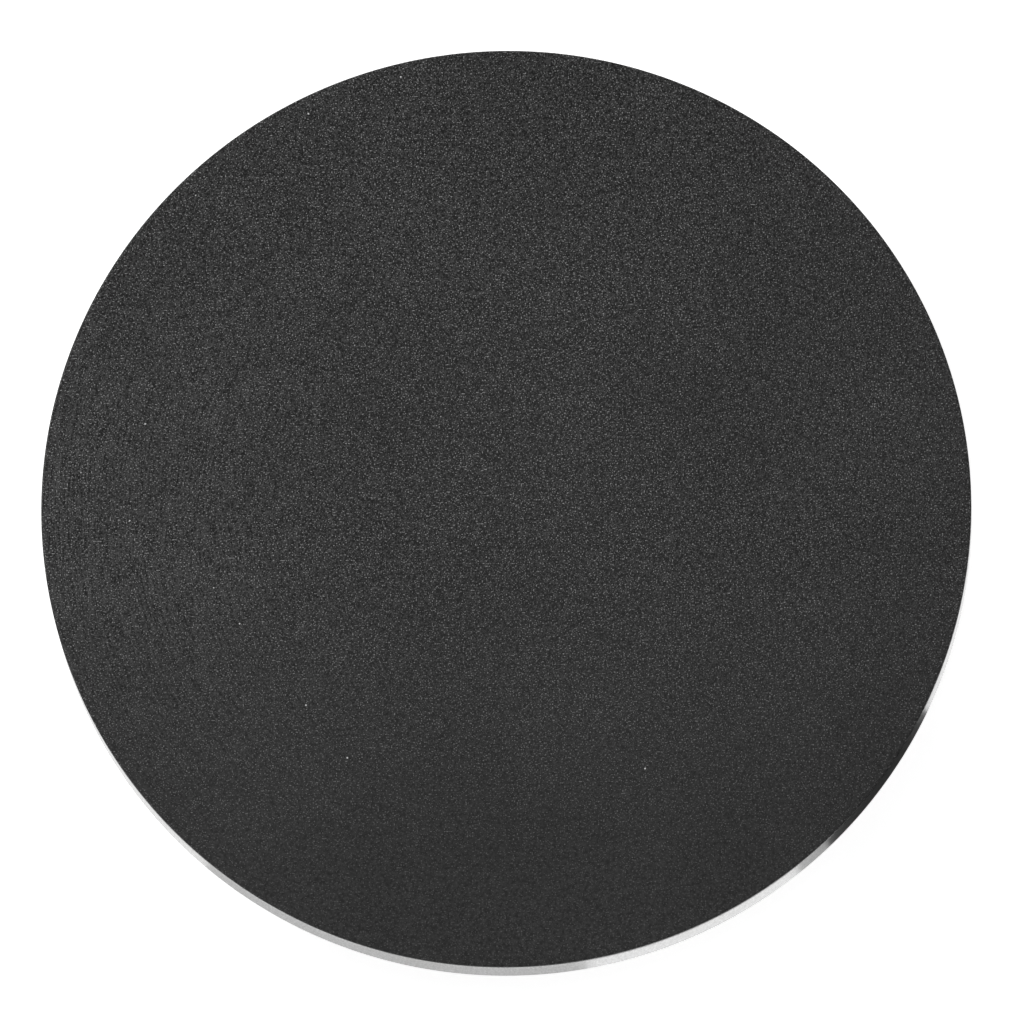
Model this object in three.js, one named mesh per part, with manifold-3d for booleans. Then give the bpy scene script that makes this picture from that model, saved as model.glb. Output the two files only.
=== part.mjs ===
// A 150 mm polishing pad on the rigid aluminium backing plate of a car polisher.
//
// The pad is a stack: a thin black face, a foam cushion and a loop fabric, bonded by glue films.
// It sits in the plate's turned pocket and is held there by the hook sheet on the pocket's floor.
// Its face covers the plate's lip, so only the face and the plate's outer wall show from above.
// A steel hub with an M14 bore is screwed to the underside of the plate and takes the spindle.
//
// Units are millimetres and +Z is up. The hub's end face lies on z = 0 and the axis is x = y = 0.

import * as THREE from "three";
import { mergeVertices } from "three/addons/utils/BufferGeometryUtils.js";
import Module from "manifold-3d";

// ---- driving dimensions ----

const DISC_RADIUS = 75;
const ROUND_STEPS = 96; // sides of a piece as wide as the disc
const CORE_STEPS = 48; // sides of a piece no wider than the hub
const SMALL_STEPS = 20; // sides of a screw, a washer or a hole
const ARC_STEPS = 3;
const CLEARANCE = 0.3;

const FACE_THICKNESS = 1.0;
const FACE_EDGE_RADIUS = 0.3;
const FOAM_THICKNESS = 2.4;
const LOOP_THICKNESS = 1.2;
const HOOK_THICKNESS = 1.2;
const GLUE_THICKNESS = 0.2;

const WALL_HEIGHT = 8.3;
const WALL_THICKNESS = 4.2;
const WALL_CHAMFER = 0.4;
const POCKET_MOUTH_CHAMFER = 0.5;
const WEB_THICKNESS = 3.2;
const BOSS_RADIUS = 26;
const BOSS_DEPTH = 3.5;

const RIB_COUNT = 8;
const RIB_THICKNESS = 3;
const RIB_END_RADIUS = 70;
const RIB_ROOT_DEPTH = 2.8;
const RIB_TIP_DEPTH = 0.4;

const BALANCE_HOLE_COUNT = 3;
const BALANCE_HOLE_RADIUS = 2.5;
const BALANCE_HOLE_DEPTH = 1.5;
const BALANCE_HOLE_SPACING = THREE.MathUtils.degToRad(9);
const BALANCE_CIRCLE_RADIUS = 66;

const BORE_RADIUS = 6; // minor diameter of the M14 x 2 thread
const BORE_MOUTH_RADIUS = 7.4;
const COLLAR_RADIUS = 12.5;
const COLLAR_HEIGHT = 7;
const COLLAR_CHAMFER = 0.6;
const FLAT_DISTANCE = 11; // half the 22 mm spanner size
const FLAT_HEIGHT = 5.5;
const FLANGE_RADIUS = 24;
const FLANGE_THICKNESS = 4;
const FLANGE_CHAMFER = 0.5;
const SPIGOT_RADIUS = 9;
const SPIGOT_HEIGHT = 3;
const GASKET_THICKNESS = 0.5;

const CAP_RADIUS = 11.5;
const CAP_THICKNESS = 1;
const CAP_SKIRT_WALL = 1.7;
const CAP_SKIRT_GAP = 0.4;

const SCREW_COUNT = 6;
const SCREW_CIRCLE_RADIUS = 18.5;
const SCREW_SHANK_RADIUS = 2.1; // minor radius of the M5 thread
const SCREW_HOLE_RADIUS = 2.5;
const SCREW_CLEARANCE_RADIUS = 2.8;
const SCREW_LENGTH = 10;
const SCREW_HEAD_RADIUS = 4.75;
const SCREW_HEAD_HEIGHT = 2.75;
const SCREW_HEAD_RIM = 0.6;
const SCREW_CROWN_RADIUS = 2.6;
const SOCKET_FLAT_DISTANCE = 1.5; // half the 3 mm key size
const SOCKET_DEPTH = 1.6;
const TAPPED_DEPTH = 5.5;

const WASHER_THICKNESS = 1.2;
const WASHER_RADIUS = 4.3;
const WASHER_HOLE_RADIUS = 2.55;
const WASHER_SPLIT = 0.6;

// ---- heights, from the hub's end face up to the pad's face ----

const FLANGE_BOTTOM = COLLAR_HEIGHT;
const FLANGE_TOP = FLANGE_BOTTOM + FLANGE_THICKNESS;
const BOSS_BOTTOM = FLANGE_TOP + GASKET_THICKNESS;
const PLATE_BOTTOM = BOSS_BOTTOM + BOSS_DEPTH;
const POCKET_FLOOR = PLATE_BOTTOM + WEB_THICKNESS;
const LIP_TOP = PLATE_BOTTOM + WALL_HEIGHT;
const HOOK_BOTTOM = POCKET_FLOOR + GLUE_THICKNESS;
const LOOP_BOTTOM = HOOK_BOTTOM + HOOK_THICKNESS;
const LOOP_TOP = LOOP_BOTTOM + LOOP_THICKNESS;
const FOAM_BOTTOM = LOOP_TOP + GLUE_THICKNESS;
const FOAM_TOP = FOAM_BOTTOM + FOAM_THICKNESS;
const FACE_BOTTOM = FOAM_TOP + GLUE_THICKNESS;
const FACE_TOP = FACE_BOTTOM + FACE_THICKNESS;
const POCKET_RADIUS = DISC_RADIUS - WALL_THICKNESS;
const LAYER_RADIUS = POCKET_RADIUS - CLEARANCE;
const HEAD_TOP = FLANGE_BOTTOM - WASHER_THICKNESS;

// ---- materials ----

const polymerBlack = new THREE.MeshStandardMaterial({ color: 0x383838, roughness: 0.6, metalness: 0 });
const foamGrey = new THREE.MeshStandardMaterial({ color: 0x2b2c2e, roughness: 0.95, metalness: 0 });
const fabricBlack = new THREE.MeshStandardMaterial({ color: 0x1d1d1f, roughness: 1, metalness: 0 });
const glueAmber = new THREE.MeshStandardMaterial({ color: 0xb9a36a, roughness: 0.4, metalness: 0 });
const satinAluminium = new THREE.MeshStandardMaterial({ color: 0xc9cacb, roughness: 0.4, metalness: 1 });
const zincSteel = new THREE.MeshStandardMaterial({ color: 0x9b9c9e, roughness: 0.35, metalness: 1 });
const screwSteel = new THREE.MeshStandardMaterial({ color: 0x2f3032, roughness: 0.45, metalness: 1 });
const gasketRubber = new THREE.MeshStandardMaterial({ color: 0x202020, roughness: 0.8, metalness: 0 });
const capPlastic = new THREE.MeshStandardMaterial({ color: 0x4a4c50, roughness: 0.55, metalness: 0 });

// ---- solids ----

const wasm = await Module();
wasm.setup();

/** The points of a round edge in the profile plane, between two angles in degrees. */
function arc(centreRadius, centreHeight, radius, fromDegrees, toDegrees) {
  const points = [];
  for (let step = 0; step <= ARC_STEPS; step += 1) {
    const degrees = fromDegrees + ((toDegrees - fromDegrees) * step) / ARC_STEPS;
    const angle = THREE.MathUtils.degToRad(degrees);
    points.push([centreRadius + radius * Math.cos(angle), centreHeight + radius * Math.sin(angle)]);
  }
  return points;
}

/** A profile of [radius, height] points, turned about the Z axis. It runs outwards along the bottom. */
function turned(profile, steps = ROUND_STEPS) {
  const points = profile.map(([radius, height]) => new THREE.Vector2(radius, height));
  if (profile[0][0] > 0) {
    points.push(points[0].clone());
  }
  return new THREE.LatheGeometry(points, steps).rotateX(Math.PI / 2);
}

/** A round disc between two heights. */
function disc(radius, bottom, top) {
  return turned([[0, bottom], [radius, bottom], [radius, top], [0, top]]);
}

/** A plain round cutter at a place on a circle, between two heights. */
function roundCutter(radius, bottom, top, circleRadius, angle) {
  const cutter = new THREE.CylinderGeometry(radius, radius, top - bottom, SMALL_STEPS);
  cutter.rotateX(Math.PI / 2);
  cutter.translate(circleRadius * Math.cos(angle), circleRadius * Math.sin(angle), (bottom + top) / 2);
  return cutter;
}

/** A closed geometry as a solid that can be joined and cut. */
function solidOf(geometry) {
  const bare = geometry.clone();
  bare.deleteAttribute("normal");
  bare.deleteAttribute("uv");
  const merged = mergeVertices(bare);
  const vertProperties = merged.attributes.position.array;
  const triVerts = new Uint32Array(merged.index.array);
  return new wasm.Manifold(new wasm.Mesh({ numProp: 3, vertProperties, triVerts }));
}

/** A solid back as a geometry. */
function geometryOf(solid) {
  const { vertProperties, triVerts } = solid.getMesh();
  const geometry = new THREE.BufferGeometry();
  geometry.setAttribute("position", new THREE.BufferAttribute(vertProperties, 3));
  geometry.setIndex(new THREE.BufferAttribute(triVerts, 1));
  geometry.computeVertexNormals();
  return geometry;
}

/** A geometry with others joined to it and then others cut from it. */
function shaped(geometry, joined, cutters) {
  let solid = solidOf(geometry);
  for (const piece of joined) {
    solid = solid.add(solidOf(piece));
  }
  for (const cutter of cutters) {
    solid = solid.subtract(solidOf(cutter));
  }
  return geometryOf(solid);
}

/** The angles of a number of equal places round the axis. */
function anglesRound(count) {
  return Array.from({ length: count }, (_, place) => (place * 2 * Math.PI) / count);
}

const screwAngles = anglesRound(SCREW_COUNT);

// ---- the pad ----

/** The black working face: flat, with its two edges just rounded off. */
function polishingFace() {
  const edge = FACE_EDGE_RADIUS;
  const centre = DISC_RADIUS - edge;
  return turned([
    [0, FACE_BOTTOM],
    ...arc(centre, FACE_BOTTOM + edge, edge, -90, 0),
    ...arc(centre, FACE_TOP - edge, edge, 0, 90),
    [0, FACE_TOP],
  ]);
}

/** The foam cushion, whose cut edge draws in a little at half height. */
function foamCushion() {
  const middle = (FOAM_BOTTOM + FOAM_TOP) / 2;
  return turned([
    [0, FOAM_BOTTOM],
    [LAYER_RADIUS, FOAM_BOTTOM],
    [LAYER_RADIUS - CLEARANCE, middle],
    [LAYER_RADIUS, FOAM_TOP],
    [0, FOAM_TOP],
  ]);
}

// ---- the backing plate ----

/** The plate's turned section: outer wall, pocket, web, boss and the stepped hole for hub and cap. */
function plateProfile() {
  const holeRadius = SPIGOT_RADIUS + CLEARANCE;
  const seatRadius = CAP_RADIUS + CLEARANCE;
  const seatHeight = POCKET_FLOOR - CAP_THICKNESS;
  return [
    [holeRadius, BOSS_BOTTOM],
    [BOSS_RADIUS, BOSS_BOTTOM],
    [BOSS_RADIUS, PLATE_BOTTOM],
    [DISC_RADIUS - WALL_CHAMFER, PLATE_BOTTOM],
    [DISC_RADIUS, PLATE_BOTTOM + WALL_CHAMFER],
    [DISC_RADIUS, LIP_TOP - WALL_CHAMFER],
    [DISC_RADIUS - WALL_CHAMFER, LIP_TOP],
    [POCKET_RADIUS + POCKET_MOUTH_CHAMFER, LIP_TOP],
    [POCKET_RADIUS, LIP_TOP - POCKET_MOUTH_CHAMFER],
    [POCKET_RADIUS, POCKET_FLOOR],
    [seatRadius, POCKET_FLOOR],
    [seatRadius, seatHeight],
    [holeRadius, seatHeight],
  ];
}

/** One gusset rib under the web, deep at the boss and shallow at the wall. */
function gussetRib(angle) {
  const root = BOSS_RADIUS - RIB_THICKNESS;
  const buried = PLATE_BOTTOM + WEB_THICKNESS / 2;
  const outline = new THREE.Shape([
    new THREE.Vector2(root, PLATE_BOTTOM - RIB_ROOT_DEPTH),
    new THREE.Vector2(RIB_END_RADIUS, PLATE_BOTTOM - RIB_TIP_DEPTH),
    new THREE.Vector2(RIB_END_RADIUS, buried),
    new THREE.Vector2(root, buried),
  ]);
  const rib = new THREE.ExtrudeGeometry(outline, { depth: RIB_THICKNESS, bevelEnabled: false });
  rib.translate(0, 0, -RIB_THICKNESS / 2);
  rib.rotateX(Math.PI / 2);
  rib.rotateZ(angle);
  return rib;
}

/** The shallow drillings that balance the plate, side by side near its edge. */
function balanceDrillings() {
  const drillings = [];
  const middle = Math.PI / RIB_COUNT;
  for (let place = 0; place < BALANCE_HOLE_COUNT; place += 1) {
    const angle = middle + (place - (BALANCE_HOLE_COUNT - 1) / 2) * BALANCE_HOLE_SPACING;
    const bottom = PLATE_BOTTOM - BALANCE_HOLE_DEPTH;
    const top = PLATE_BOTTOM + BALANCE_HOLE_DEPTH;
    drillings.push(roundCutter(BALANCE_HOLE_RADIUS, bottom, top, BALANCE_CIRCLE_RADIUS, angle));
  }
  return drillings;
}

/** The backing plate, one turned and milled piece of aluminium. */
function backingPlate() {
  const tappedHoles = screwAngles.map((angle) =>
    roundCutter(
      SCREW_HOLE_RADIUS,
      BOSS_BOTTOM - TAPPED_DEPTH,
      BOSS_BOTTOM + TAPPED_DEPTH,
      SCREW_CIRCLE_RADIUS,
      angle,
    ),
  );
  const ribs = anglesRound(RIB_COUNT).map(gussetRib);
  return shaped(turned(plateProfile()), ribs, [...tappedHoles, ...balanceDrillings()]);
}

// ---- the hub ----

/** The hub's turned section: threaded bore with opened mouths, collar, flange and locating spigot. */
function hubProfile() {
  const spigotTop = FLANGE_TOP + SPIGOT_HEIGHT;
  const mouthDepth = BORE_MOUTH_RADIUS - BORE_RADIUS;
  return [
    [BORE_RADIUS, mouthDepth],
    [BORE_MOUTH_RADIUS, 0],
    [COLLAR_RADIUS - COLLAR_CHAMFER, 0],
    [COLLAR_RADIUS, COLLAR_CHAMFER],
    [COLLAR_RADIUS, FLANGE_BOTTOM],
    [FLANGE_RADIUS - FLANGE_CHAMFER, FLANGE_BOTTOM],
    [FLANGE_RADIUS, FLANGE_BOTTOM + FLANGE_CHAMFER],
    [FLANGE_RADIUS, FLANGE_TOP],
    [SPIGOT_RADIUS, FLANGE_TOP],
    [SPIGOT_RADIUS, spigotTop],
    [BORE_MOUTH_RADIUS, spigotTop],
    [BORE_RADIUS, spigotTop - mouthDepth],
  ];
}

/** The two blocks whose inner sides cut the spanner flats on the collar. */
function flatCutters() {
  const width = 2 * COLLAR_RADIUS;
  return [-1, 1].map((side) => {
    const block = new THREE.BoxGeometry(COLLAR_RADIUS, width, 2 * FLAT_HEIGHT);
    block.translate(side * (FLAT_DISTANCE + COLLAR_RADIUS / 2), 0, 0);
    return block;
  });
}

/** The holes for the hub screws, between two heights. */
function screwClearanceHoles(bottom, top) {
  return screwAngles.map((angle) =>
    roundCutter(SCREW_CLEARANCE_RADIUS, bottom, top, SCREW_CIRCLE_RADIUS, angle),
  );
}

/** The steel hub. */
function spindleHub() {
  const holes = screwClearanceHoles(FLANGE_BOTTOM - CLEARANCE, FLANGE_TOP + CLEARANCE);
  return shaped(turned(hubProfile(), CORE_STEPS), [], [...flatCutters(), ...holes]);
}

/** The flat gasket between the hub's flange and the plate's boss. */
function hubGasket() {
  const holeRadius = SPIGOT_RADIUS + CLEARANCE;
  const profile = [
    [holeRadius, FLANGE_TOP],
    [FLANGE_RADIUS, FLANGE_TOP],
    [FLANGE_RADIUS, BOSS_BOTTOM],
    [holeRadius, BOSS_BOTTOM],
  ];
  const holes = screwClearanceHoles(FLANGE_TOP - CLEARANCE, BOSS_BOTTOM + CLEARANCE);
  return shaped(turned(profile, CORE_STEPS), [], holes);
}

/** The cap that closes the bore under the hook sheet: a disc in its seat with a skirt below. */
function dustCap() {
  const seatHeight = POCKET_FLOOR - CAP_THICKNESS;
  const skirtBottom = FLANGE_TOP + SPIGOT_HEIGHT + CAP_SKIRT_GAP;
  const skirtInside = SPIGOT_RADIUS - CAP_SKIRT_WALL;
  const profile = [
    [0, seatHeight],
    [skirtInside, seatHeight],
    [skirtInside, skirtBottom],
    [SPIGOT_RADIUS, skirtBottom],
    [SPIGOT_RADIUS, seatHeight],
    [CAP_RADIUS, seatHeight],
    [CAP_RADIUS, POCKET_FLOOR],
    [0, POCKET_FLOOR],
  ];
  return turned(profile, CORE_STEPS);
}

// ---- the fasteners, each in its own frame with the head's seat at height 0 and the shank up ----

/** A button-head screw with a hexagon socket. */
function hubScrew() {
  const crown = [];
  for (let step = 0; step <= ARC_STEPS; step += 1) {
    const share = step / ARC_STEPS;
    const radius = THREE.MathUtils.lerp(SCREW_CROWN_RADIUS, SCREW_HEAD_RADIUS, share);
    const drop = (SCREW_HEAD_HEIGHT - SCREW_HEAD_RIM) * share * share;
    crown.push([radius, drop - SCREW_HEAD_HEIGHT]);
  }
  const body = turned(
    [
      [0, -SCREW_HEAD_HEIGHT],
      ...crown,
      [SCREW_HEAD_RADIUS, 0],
      [SCREW_SHANK_RADIUS, 0],
      [SCREW_SHANK_RADIUS, SCREW_LENGTH],
      [0, SCREW_LENGTH],
    ],
    SMALL_STEPS,
  );
  const cornerRadius = SOCKET_FLAT_DISTANCE / Math.cos(Math.PI / 6);
  const socket = new THREE.CylinderGeometry(cornerRadius, cornerRadius, 2 * SOCKET_DEPTH, 6);
  socket.rotateX(Math.PI / 2);
  socket.translate(0, 0, -SCREW_HEAD_HEIGHT);
  return shaped(body, [], [socket]);
}

/** A split lock washer, pressed flat between the head and the flange. */
function lockWasher() {
  const ring = turned(
    [
      [WASHER_HOLE_RADIUS, 0],
      [WASHER_RADIUS, 0],
      [WASHER_RADIUS, WASHER_THICKNESS],
      [WASHER_HOLE_RADIUS, WASHER_THICKNESS],
    ],
    SMALL_STEPS,
  );
  const split = new THREE.BoxGeometry(2 * WASHER_RADIUS, WASHER_SPLIT, 4 * WASHER_THICKNESS);
  split.translate(WASHER_RADIUS, 0, 0);
  return shaped(ring, [], [split]);
}

// ---- assembly ----

/** A named mesh of one piece. */
function piece(name, geometry, material) {
  const mesh = new THREE.Mesh(geometry, material);
  mesh.name = name;
  return mesh;
}

/** The same small piece at each screw's place, its name numbered from 1. */
function roundTheHub(name, geometry, material) {
  const ring = new THREE.Group();
  screwAngles.forEach((angle, place) => {
    const copy = piece(`${name}_${place + 1}`, geometry, material);
    const x = SCREW_CIRCLE_RADIUS * Math.cos(angle);
    const y = SCREW_CIRCLE_RADIUS * Math.sin(angle);
    copy.position.set(x, y, HEAD_TOP);
    copy.rotation.z = angle;
    ring.add(copy);
  });
  return ring;
}

const pad = new THREE.Group();
pad.add(
  piece("polishing_face", polishingFace(), polymerBlack),
  piece("face_glue_film", disc(LAYER_RADIUS, FOAM_TOP, FACE_BOTTOM), glueAmber),
  piece("foam_cushion", foamCushion(), foamGrey),
  piece("loop_glue_film", disc(LAYER_RADIUS, LOOP_TOP, FOAM_BOTTOM), glueAmber),
  piece("loop_fabric", disc(LAYER_RADIUS, LOOP_BOTTOM, LOOP_TOP), fabricBlack),
);

const backing = new THREE.Group();
backing.add(
  piece("hook_sheet", disc(LAYER_RADIUS, HOOK_BOTTOM, LOOP_BOTTOM), fabricBlack),
  piece("hook_glue_film", disc(LAYER_RADIUS, POCKET_FLOOR, HOOK_BOTTOM), glueAmber),
  piece("backing_plate", backingPlate(), satinAluminium),
  piece("dust_cap", dustCap(), capPlastic),
  piece("hub_gasket", hubGasket(), gasketRubber),
  piece("spindle_hub", spindleHub(), zincSteel),
  roundTheHub("hub_screw", hubScrew(), screwSteel),
  roundTheHub("lock_washer", lockWasher(), zincSteel),
);

const polishingPad = new THREE.Group();
polishingPad.add(pad, backing);

export default polishingPad;
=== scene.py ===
"""The looks of a polishing pad on its aluminium backing plate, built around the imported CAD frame.

Lengths are in metres and heights run up the disc's axis, as in the frame. The pad (black face, foam,
loop fabric) lifts off the plate, so its pieces ride on the body "pad" and all others on "backing".
"""

import math

import bpy
import numpy as np
from mathutils import Matrix, Vector, noise


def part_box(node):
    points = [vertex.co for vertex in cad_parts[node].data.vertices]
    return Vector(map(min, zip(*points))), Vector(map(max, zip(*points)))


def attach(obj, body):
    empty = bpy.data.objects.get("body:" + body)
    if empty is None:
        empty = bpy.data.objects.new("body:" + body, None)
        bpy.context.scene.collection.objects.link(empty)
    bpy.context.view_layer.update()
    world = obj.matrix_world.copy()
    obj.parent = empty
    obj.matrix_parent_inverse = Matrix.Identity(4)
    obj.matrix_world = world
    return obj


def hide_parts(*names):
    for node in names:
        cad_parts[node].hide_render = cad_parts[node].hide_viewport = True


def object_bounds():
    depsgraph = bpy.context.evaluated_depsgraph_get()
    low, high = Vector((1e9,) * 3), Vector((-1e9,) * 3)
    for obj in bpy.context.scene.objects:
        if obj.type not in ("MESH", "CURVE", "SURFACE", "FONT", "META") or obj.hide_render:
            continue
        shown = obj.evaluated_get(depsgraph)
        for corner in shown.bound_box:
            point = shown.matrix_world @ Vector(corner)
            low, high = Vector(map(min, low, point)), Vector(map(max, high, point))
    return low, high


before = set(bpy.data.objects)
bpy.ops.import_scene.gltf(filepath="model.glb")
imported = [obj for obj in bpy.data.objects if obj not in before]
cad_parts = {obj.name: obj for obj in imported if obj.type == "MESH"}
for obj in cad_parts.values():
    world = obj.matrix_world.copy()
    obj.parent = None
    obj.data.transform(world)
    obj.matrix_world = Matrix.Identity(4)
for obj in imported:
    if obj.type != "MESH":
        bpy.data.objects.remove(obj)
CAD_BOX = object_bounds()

MM = 0.001
SEED = 11

# ---- sizes: heights and outer radii from the frame, and what its boxes can't show as named values ----

FACE_LOW, FACE_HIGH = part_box("polishing_face")
FOAM_LOW, FOAM_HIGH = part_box("foam_cushion")
LOOP_LOW, LOOP_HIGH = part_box("loop_fabric")
HOOK_LOW, HOOK_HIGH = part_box("hook_sheet")
PLATE_LOW, PLATE_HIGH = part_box("backing_plate")
CAP_LOW, CAP_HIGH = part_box("dust_cap")
GASKET_LOW, GASKET_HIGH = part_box("hub_gasket")
HUB_LOW, HUB_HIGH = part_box("spindle_hub")
SCREW_LOW, SCREW_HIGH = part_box("hub_screw_1")
WASHER_LOW, WASHER_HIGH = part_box("lock_washer_1")

DISC_RADIUS = FACE_HIGH.x
LAYER_RADIUS = FOAM_HIGH.x
SCREW_COUNT = 6
SCREW_CIRCLE = (SCREW_LOW.x + SCREW_HIGH.x) / 2

WALL_THICKNESS = 4.2 * MM
WALL_HEIGHT = 8.3 * MM
WEB_THICKNESS = 3.2 * MM
BOSS_RADIUS = 26 * MM
RIB_COUNT = 8
RIB_THICKNESS = 3 * MM
RIB_END_RADIUS = 70 * MM
RIB_ROOT_DEPTH = 2.8 * MM
RIB_TIP_DEPTH = 0.4 * MM
BALANCE_HOLES = 3
BALANCE_HOLE_RADIUS = 2.5 * MM
BALANCE_HOLE_DEPTH = 1.5 * MM
BALANCE_CIRCLE = 66 * MM
BALANCE_SPACING = math.radians(9)
BORE_RADIUS = 6 * MM
BORE_MOUTH_RADIUS = 7.4 * MM
THREAD_PITCH = 2 * MM
THREAD_DEPTH = 1 * MM
COLLAR_RADIUS = 12.5 * MM
COLLAR_HEIGHT = 7 * MM
FLAT_DISTANCE = 11 * MM
FLAT_HEIGHT = 5.5 * MM
SPIGOT_RADIUS = 9 * MM
SPIGOT_HEIGHT = 3 * MM
CLEARANCE = 0.3 * MM
CAP_THICKNESS = 1 * MM
CAP_SKIRT_WALL = 1.7 * MM
SCREW_HOLE_RADIUS = 2.5 * MM
SCREW_CLEARANCE_RADIUS = 2.8 * MM
TAPPED_DEPTH = 5.5 * MM
SCREW_HEAD_HEIGHT = 2.75 * MM
SCREW_PITCH = 0.8 * MM
SCREW_CREST_RADIUS = 2.45 * MM
SOCKET_FLAT_DISTANCE = 1.5 * MM
SOCKET_DEPTH = 1.6 * MM
WASHER_HOLE_RADIUS = 2.6 * MM
WASHER_SPLIT = math.radians(10)
HOOK_SPACING = 2.1 * MM
LOOP_SPACING = 1.85 * MM

POCKET_RADIUS = DISC_RADIUS - WALL_THICKNESS
PLATE_BOTTOM = PLATE_HIGH.z - WALL_HEIGHT
POCKET_FLOOR = PLATE_BOTTOM + WEB_THICKNESS
FLANGE_TOP = GASKET_LOW.z

FINE_STEPS = 384
CORE_STEPS = 192
SMALL_STEPS = 48
ARC_STEPS = 6
GUARD = 1.3  # how far past a rounded edge its flat sides get a supporting ring, in arc reaches
SMOOTH_ANGLE = math.radians(32)
THREAD_ROWS = 16  # rings of points for each turn of the hub's thread, and of a screw's
SCREW_THREAD_ROWS = 10

# ---- camera and stage: each card is its name, two bearings in degrees, its glow and its height ----

CAMERA_DISTANCE = 3.75
CAMERA_TILT = math.radians(10.15)  # off the disc's axis
CAMERA_BEARING = math.radians(-81.7)  # from +X, which way the camera leans off the axis
CAMERA_LENS_MM = 821.2
CAMERA_SENSOR_MM = 36
CAMERA_NEAREST = 0.1
CAMERA_FARTHEST = 100
AIM_RIGHT = 0.65 * MM  # how far right of the face's centre the camera aims, and how far up
AIM_UP = -0.23 * MM
FLOOR_RADIUS = 30.0
FLOOR_GLOW = 0.65
# Under the disc the floor's glow drops to this share: a painted shadow.
PAINTED_SHADOW_GLOW = 0.1  # the share of the glow that is left under the disc
PAINTED_SHADOW_RADIUS_MM = 52
GLOWING_RADIUS_MM = 70
WORLD_STRENGTH = 0.55
KEY_PLACE = (-0.9, 0.7, 1.1)
KEY_SIZE = 0.6
KEY_POWER = 11
GLOW_PLACE = (0.006, 0.027, 0.15)
GLOW_SIZE = 0.03
GLOW_POWER = 0.016
CARD_RADIUS = 98 * MM
LOW_CARD = 2 * MM
TALL_CARD = 24 * MM
# The cards paint the plate wall's reflection. The glowing ones stand in for lit table beside the disc, and
# the dark one stands in for the disc's shadow on the table, as a painted shadow.
CARDS = (
    ("right_card", -23.7, 5, 1.35, LOW_CARD),
    ("painted_shadow_card", -45, -23.7, 0.0, TALL_CARD),
    ("half_card", -50, -45, 0.6, LOW_CARD),
    ("front_card", -80, -50, 1.35, LOW_CARD),
    ("dim_card", -132, -80, 0.78, LOW_CARD),
)


# ---- shapes: a shape is (points, faces), with its faces pointing out ----


def rounded(corners, closed=False):
    """A profile from corners (radius, height, rounding), with an arc at each corner that has one."""
    points = []
    for index, (radius, height, rounding) in enumerate(corners):
        corner = np.array((radius, height))
        inner = closed or 0 < index < len(corners) - 1
        if rounding == 0 or not inner:
            points.append(corner)
            continue
        back = np.array(corners[index - 1][:2]) - corner
        ahead = np.array(corners[(index + 1) % len(corners)][:2]) - corner
        back /= np.linalg.norm(back)
        ahead /= np.linalg.norm(ahead)
        half_angle = math.acos(np.clip(back @ ahead, -1, 1)) / 2
        reach = rounding / math.tan(half_angle)
        middle = (back + ahead) / np.linalg.norm(back + ahead)
        centre = corner + middle * rounding / math.sin(half_angle)
        first = corner + back * reach - centre
        last = corner + ahead * reach - centre
        start = math.atan2(first[1], first[0])
        sweep = (math.atan2(last[1], last[0]) - start + math.pi) % (2 * math.pi) - math.pi
        points.append(corner + back * reach * GUARD)
        for step in range(ARC_STEPS + 1):
            angle = start + sweep * step / ARC_STEPS
            points.append(centre + rounding * np.array((math.cos(angle), math.sin(angle))))
        points.append(corner + ahead * reach * GUARD)
    return np.array(points)


def turned(profile, steps, closed=False, ripple=None):
    """A profile turned about the axis. It runs outwards along the bottom and back along the top.

    ripple(radii, heights, angles) gives what is added to the radius at each point and angle."""
    angles = np.arange(steps) * 2 * math.pi / steps
    radii = np.repeat(profile[:, :1], steps, 1)
    heights = np.repeat(profile[:, 1:], steps, 1)
    if ripple:
        radii = radii + ripple(radii, heights, angles[None, :])
    grid = np.stack((radii * np.cos(angles), radii * np.sin(angles), heights), 2)
    on_axis = profile[:, 0] < 1e-9
    rows, points = [], []
    for row, ring in enumerate(grid):
        start = len(points)
        if on_axis[row]:
            points.append(ring[0])
            rows.append([start] * steps)
        else:
            points.extend(ring)
            rows.append(list(range(start, start + steps)))
    if closed:
        rows.append(rows[0])
    faces = []
    for low, high in zip(rows, rows[1:]):
        for step in range(steps):
            beside = (step + 1) % steps
            corners = (low[step], low[beside], high[beside], high[step])
            faces.append(tuple(dict.fromkeys(corners)))
    return np.array(points), [face for face in faces if len(face) > 2]


def prism(outline, bottom, top):
    """An outline of (x, y) points, counter-clockwise from above, raised between two heights."""
    count = len(outline)
    points = [(x, y, bottom) for x, y in outline] + [(x, y, top) for x, y in outline]
    faces = [tuple(reversed(range(count))), tuple(range(count, 2 * count))]
    for index in range(count):
        beside = (index + 1) % count
        faces.append((index, beside, beside + count, index + count))
    return np.array(points), faces


def polygon(sides, radius):
    """The corners of a regular polygon."""
    return [(radius * math.cos(angle), radius * math.sin(angle)) for angle in equal_angles(sides)]


def placed(shape, matrix):
    """The shape moved by a matrix."""
    points, faces = shape
    turn = np.array(matrix.to_3x3())
    shift = np.array(matrix.translation)
    return points @ turn.T + shift, faces


def round_the_axis(shape, angles, radius=0.0):
    """Copies of a shape at a distance from the axis, turned to each of the angles, as one shape."""
    outwards = Matrix.Translation((radius, 0, 0))
    return joined([placed(shape, Matrix.Rotation(angle, 4, "Z") @ outwards) for angle in angles])


def joined(shapes):
    """Several shapes as one."""
    points, faces, start = [], [], 0
    for shape_points, shape_faces in shapes:
        points.append(shape_points)
        faces.extend(tuple(index + start for index in face) for face in shape_faces)
        start += len(shape_points)
    return np.concatenate(points), faces


def equal_angles(count):
    """The angles of equal places round the axis, from +X."""
    return [place * 2 * math.pi / count for place in range(count)]


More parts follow.
